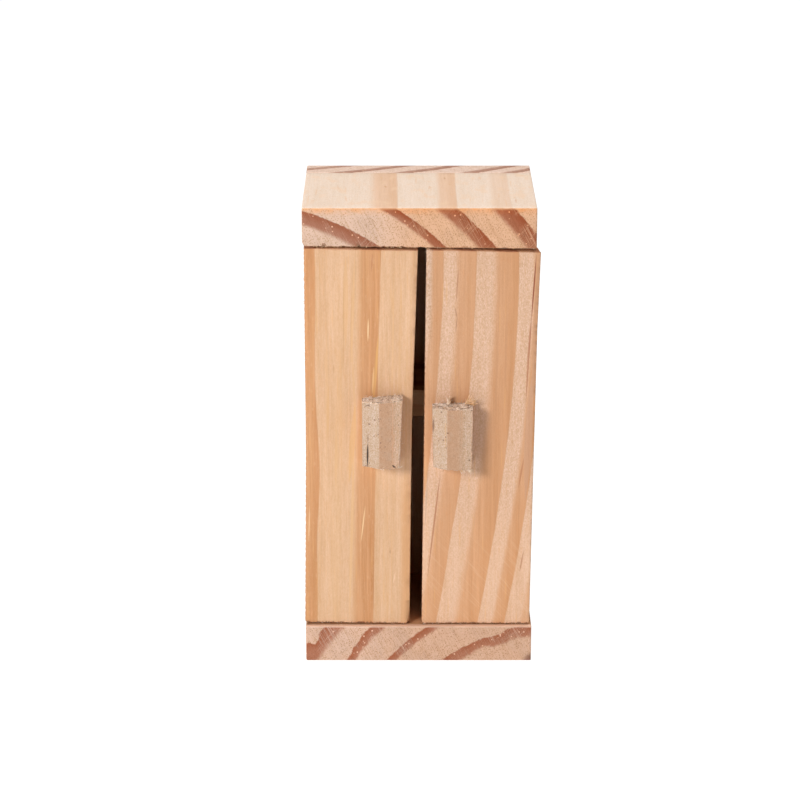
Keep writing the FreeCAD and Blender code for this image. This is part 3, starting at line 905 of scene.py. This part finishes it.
def grow_fringes():
    """Loose fibres where the pieces were sawn or torn."""
    draw = random.Random(27)
    pale = torn_wood("torn_fibres", (0.84, 0.66, 0.51))
    grey = torn_wood("grey_fibres", (0.58, 0.47, 0.38))
    gold = torn_wood("golden_fibres", (0.90, 0.64, 0.40))
    door = DOOR_FRONT_MM
    fringe("left_handle_top_fibres", LEFT, pale, draw, (-12.0, door - 3.0, 59.1),
           (-8.6, door - 4.9, 59.4), 18, (0.5, -0.4, 0.5), (0.4, 0.9), 0.11, 0.5)
    fringe("left_handle_crest_fibres", LEFT, pale, draw, (-11.9, door - 0.5, 59.2),
           (-3.5, door - 0.5, 59.8), 34, (0.4, -0.4, 0.6), (0.4, 1.0), 0.11, 0.6)
    fringe("left_handle_foot_fibres", LEFT, pale, draw, (-8.4, door - 4.8, 45.1),
           (-4.1, door - 4.3, 45.1), 20, (0.5, -0.4, 0.2), (0.4, 1.0), 0.12, 0.6)
    fringe("left_handle_side_fibres", LEFT, pale, draw, (-3.5, door - 4.2, 56.0),
           (-3.9, door - 4.2, 46.0), 9, (0.7, -0.2, 0.3), (0.2, 0.5), 0.06, 0.4)
    fringe("right_handle_top_fibres", RIGHT, pale, draw, (2.8, door - 3.0, 57.9),
           (8.6, door - 4.9, 58.0), 22, (-0.5, -0.4, 0.5), (0.4, 0.9), 0.11, 0.5)
    fringe("right_handle_crest_fibres", RIGHT, grey, draw, (3.0, door - 0.5, 57.9),
           (11.0, door - 0.5, 58.1), 30, (-0.4, -0.3, 0.7), (0.3, 0.8), 0.11, 0.6)
    fringe("right_handle_splinter", RIGHT, pale, draw, (6.0, door - 0.6, 58.0),
           (6.6, door - 0.9, 57.9), 7, (0.0, -0.1, 1.0), (1.7, 2.3), 0.32, 0.2)
    fringe("right_handle_curl", RIGHT, gold, draw, (9.6, door - 0.8, 58.1),
           (11.3, door - 1.4, 57.9), 22, (0.5, -0.4, 0.7), (1.1, 2.3), 0.19, 0.5)
    fringe("right_handle_foot_fibres", RIGHT, pale, draw, (8.6, door - 4.8, 44.8),
           (11.2, door - 4.2, 44.8), 22, (0.4, -0.3, -0.5), (0.5, 1.2), 0.13, 0.5)
    fringe("right_handle_heel_fibres", RIGHT, pale, draw, (3.0, door - 3.2, 44.9),
           (8.6, door - 4.8, 44.8), 12, (0.0, -0.3, -0.6), (0.2, 0.45), 0.08, 0.4)
    fringe("right_handle_side_fibres", RIGHT, pale, draw, (2.8, door - 2.8, 57.5),
           (3.0, door - 2.8, 46.0), 10, (-0.7, -0.3, 0.2), (0.2, 0.5), 0.07, 0.4)
    fringe("right_door_corner_fibres", RIGHT, pale, draw, (1.5, door + 0.1, 91.0),
           (3.0, door + 0.1, 91.1), 22, (-0.5, -0.3, 0.1), (0.3, 0.8), 0.07, 0.7)
    fringe("right_door_edge_fibres", RIGHT, grey, draw, (1.5, door + 0.1, 91.0),
           (1.3, door + 0.1, 66.0), 46, (-0.4, -0.5, 0.2), (0.15, 0.4), 0.06, 0.6)
    fringe("right_door_low_edge_fibres", RIGHT, pale, draw, (1.2, door + 0.1, 60.0),
           (0.75, door + 0.1, 10.0), 46, (-0.5, -0.4, 0.1), (0.1, 0.28), 0.06, 0.5)
    fringe("right_door_foot_fibres", RIGHT, pale, draw, (1.0, door + 0.1, 8.3),
           (23.6, door + 0.1, 8.25), 70, (0.0, -0.6, -0.1), (0.1, 0.3), 0.07, 0.3)
    fringe("left_door_foot_fibres", LEFT, pale, draw, (-24.2, door + 0.1, 8.55),
           (-2.6, door + 0.1, 8.3), 60, (0.0, -0.6, -0.1), (0.1, 0.3), 0.07, 0.3)
    fringe("left_door_edge_fibres", LEFT, pale, draw, (-23.95, door + 0.1, 90.0),
           (-24.2, door + 0.1, 12.0), 60, (-0.6, -0.3, 0.1), (0.08, 0.22), 0.06, 0.4)
    fringe("top_board_lip_fibres", CARCASS, gold, draw,
           (-HALF_WIDTH_MM + 1.0, FRONT_MM + 0.15, TOP_UNDERSIDE_MM + 0.6),
           (HALF_WIDTH_MM - 0.4, FRONT_MM + 0.15, TOP_UNDERSIDE_MM + 0.1), 80, (0.0, -0.05, -0.9),
           (0.15, 0.4), 0.08, 0.4)


grow_fringes()


# ---------------------------------------------------------------- floor, light and camera
def plain_floor():
    """A pale light table: a little of its own light keeps it near white."""
    half = 20.0
    corners = [(-half, -half, 0), (half, -half, 0), (half, half, 0), (-half, half, 0)]
    mesh = bpy.data.meshes.new("floor")
    mesh.from_pydata(corners, [], [(0, 1, 2, 3)])
    floor = bpy.data.objects.new("floor", mesh)
    bpy.context.scene.collection.objects.link(floor)
    material = bpy.data.materials.new("pale_floor")
    material.use_nodes = True
    shader = material.node_tree.nodes["Principled BSDF"]
    shader.inputs["Base Color"].default_value = (0.15, 0.15, 0.15, 1)
    shader.inputs["Roughness"].default_value = 0.9
    shader.inputs["Specular IOR Level"].default_value = 0.0
    shader.inputs["Emission Color"].default_value = (1, 1, 1, 1)
    shader.inputs["Emission Strength"].default_value = 0.97
    mesh.materials.append(material)


def softbox(name, azimuth, elevation, distance, size, watts, aim):
    """A square area light; azimuth is degrees to the left of straight ahead of the front."""
    turn, rise = math.radians(azimuth), math.radians(elevation)
    away = Vector((-math.sin(turn) * math.cos(rise), -math.cos(turn) * math.cos(rise), math.sin(rise)))
    light = bpy.data.lights.new(name, "AREA")
    light.size = size
    light.energy = watts
    lamp = bpy.data.objects.new(name, light)
    lamp.location = aim + away * distance
    lamp.rotation_mode = "QUATERNION"
    lamp.rotation_quaternion = (-away).to_track_quat("-Z", "Y")
    bpy.context.scene.collection.objects.link(lamp)


def light_room():
    """A faint even light, a small key light to the front left and a large one overhead."""
    world = bpy.data.worlds.new("soft_room")
    world.use_nodes = True
    background = world.node_tree.nodes["Background"]
    background.inputs["Color"].default_value = (1, 1, 1, 1)
    background.inputs["Strength"].default_value = 0.03
    bpy.context.scene.world = world
    softbox("key_softbox", azimuth=38, elevation=21, distance=0.9, size=0.24, watts=5.8,
            aim=Vector((0, 0, total_height / 2)))
    softbox("overhead_softbox", azimuth=205, elevation=87, distance=1.0, size=0.6, watts=10.3,
            aim=Vector((0, 0, total_height)))


def place_camera():
    """Stands almost straight ahead of the front and looks down a little. Lens in mm, angles in degrees."""
    lens_length = 129.26
    from_front_in_widths = Vector((-0.0845, -11.832, 4.980))
    look_down = 17.643
    turn_right = 0.01
    data = bpy.data.cameras.new("camera")
    data.sensor_width = 36
    data.lens = lens_length
    camera = bpy.data.objects.new("camera", data)
    camera.location = Vector((0, front_y, 0)) + from_front_in_widths * width
    camera.rotation_euler = (math.radians(90 - look_down), 0, math.radians(-turn_right))
    bpy.context.scene.collection.objects.link(camera)
    bpy.context.scene.camera = camera


bpy.context.scene.view_settings.view_transform = "Standard"
plain_floor()
light_room()
place_camera()
